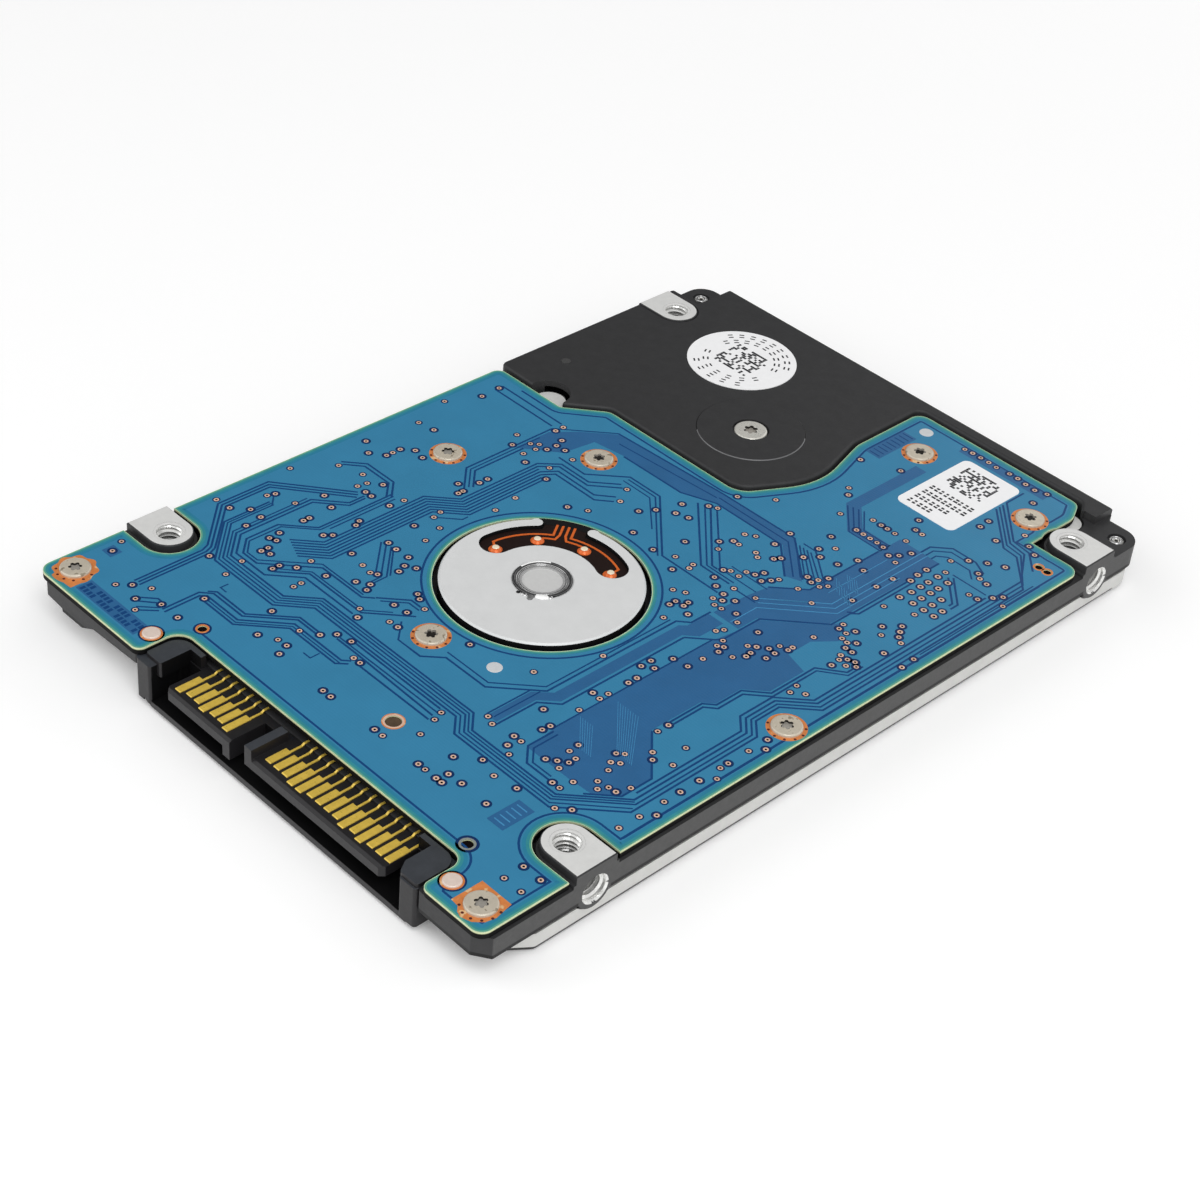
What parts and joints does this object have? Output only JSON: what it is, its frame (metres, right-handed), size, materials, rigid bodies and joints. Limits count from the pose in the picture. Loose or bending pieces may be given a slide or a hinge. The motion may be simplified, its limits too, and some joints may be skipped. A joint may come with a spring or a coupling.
{
  "type": "hard disk drive",
  "caption": "Slim notebook hard disk drive: black cast base, pressed bright cover, blue circuit board, serial ATA plug, with turning platter, swinging head arm and latch inside.",
  "frame": {"origin": "centre of the footprint, on the outer face of the cover", "axes": "+X across the width towards the power end of the plug, +Y from the plug to the far end, +Z out of the circuit board side"},
  "size_m": [0.0698, 0.1002, 0.007],
  "materials": {
    "base_paint": "satin black coat over die-cast aluminium, bare machined pads",
    "flange_metal": "fine satin, light",
    "sleeve_metal": "turned",
    "end_cap_metal": "turned, grey",
    "lamination_steel": "stacked sheet",
    "copper_wire": "enamelled copper winding",
    "flex_film": "amber polyimide film",
    "solder": "bright solder",
    "cover_steel": "bright pressed sheet",
    "gasket_rubber": "matt black",
    "screw_steel": "nickel plated",
    "board_screw_steel": "nickel plated",
    "label_film": "silvered film",
    "filter_felt": "white felt",
    "board_laminate": "blue solder mask over glass laminate",
    "insulator_film": "thin dark film",
    "plug_plastic": "black moulded plastic",
    "contact_gold": "gold plated",
    "chip_package": "moulded epoxy",
    "can_metal": "plated can",
    "ceramic_part": "fired ceramic",
    "pin_steel": "ground",
    "bracket_steel": "stamped",
    "connector_plastic": "moulded plastic",
    "yoke_steel": "nickel plated plate",
    "magnet_nickel": "nickel plated magnet",
    "stop_rubber": "elastomer",
    "ramp_plastic": "low-friction polymer",
    "label_paper": "white label stock",
    "hub_aluminium": "turned",
    "platter_mirror": "polished",
    "clamp_steel": "stamped",
    "arm_aluminium": "machined",
    "bearing_steel": "ground",
    "coil_plastic": "overmoulded plastic",
    "spring_steel": "etched sheet",
    "slider_ceramic": "polished ceramic",
    "latch_plastic": "moulded plastic"
  },
  "bodies": {
    "root": {"base_casting": "base_paint", "motor_flange": "flange_metal", "bearing_sleeve": "sleeve_metal", "bearing_end_cap": "end_cap_metal", "stator_core": "lamination_steel", "stator_coils": "copper_wire", "motor_flex": "flex_film", "motor_solder_joints": "solder", "top_cover": "cover_steel", "cover_gasket": "gasket_rubber", "cover_screws": "screw_steel", "cover_label": "label_film", "breather_filter": "filter_felt", "recirculation_filter": "filter_felt", "circuit_board": "board_laminate", "board_screws": "board_screw_steel", "board_insulator": "insulator_film", "sata_housing": "plug_plastic", "sata_signal_contacts": "contact_gold", "sata_power_contacts": "contact_gold", "connector_pegs": "solder", "controller_chip": "chip_package", "memory_chip": "chip_package", "motor_driver_chip": "chip_package", "flash_chip": "chip_package", "crystal_resonator": "can_metal", "shock_sensors": "ceramic_part", "board_passives": "ceramic_part", "pivot_shaft": "pin_steel", "pivot_screw": "screw_steel", "flex_bracket": "bracket_steel", "bracket_screws": "screw_steel", "head_connector": "connector_plastic", "flex_loop": "flex_film", "vcm_cover_yoke": "yoke_steel", "vcm_base_yoke": "yoke_steel", "vcm_cover_magnet": "magnet_nickel", "vcm_base_magnet": "magnet_nickel", "yoke_posts": "pin_steel", "crash_stops": "stop_rubber", "latch_pin": "pin_steel", "load_ramp": "ramp_plastic", "ramp_screw": "screw_steel", "round_label": "label_paper", "board_label": "label_paper"},
    "rotor": {"spindle_shaft": "pin_steel", "spindle_hub": "hub_aluminium", "rotor_magnet": "magnet_nickel", "platter": "platter_mirror", "disk_clamp": "clamp_steel", "clamp_screws": "screw_steel"},
    "actuator": {"actuator_arm": "arm_aluminium", "pivot_bearings": "bearing_steel", "voice_coil": "copper_wire", "coil_frame": "coil_plastic", "head_suspensions": "spring_steel", "head_sliders": "slider_ceramic", "arm_flex": "flex_film", "preamp_chip": "chip_package"},
    "latch": {"latch_lever": "latch_plastic"}
  },
  "joints": [
    {"name": "spindle", "type": "hinge", "parent": "root", "child": "rotor", "pos_m": [-0.00025, -0.0105, 0], "axis": [0, 0, 1], "continuous": true},
    {"name": "arm_swing", "type": "hinge", "parent": "root", "child": "actuator", "pos_m": [-0.0066, 0.0283, 0], "axis": [0, 0, 1], "range_deg": [-36, 0]},
    {"name": "latch_turn", "type": "hinge", "parent": "root", "child": "latch", "pos_m": [-0.0305, 0.0213, 0], "axis": [0, 0, 1], "range_deg": [0, 10]}
  ]
}
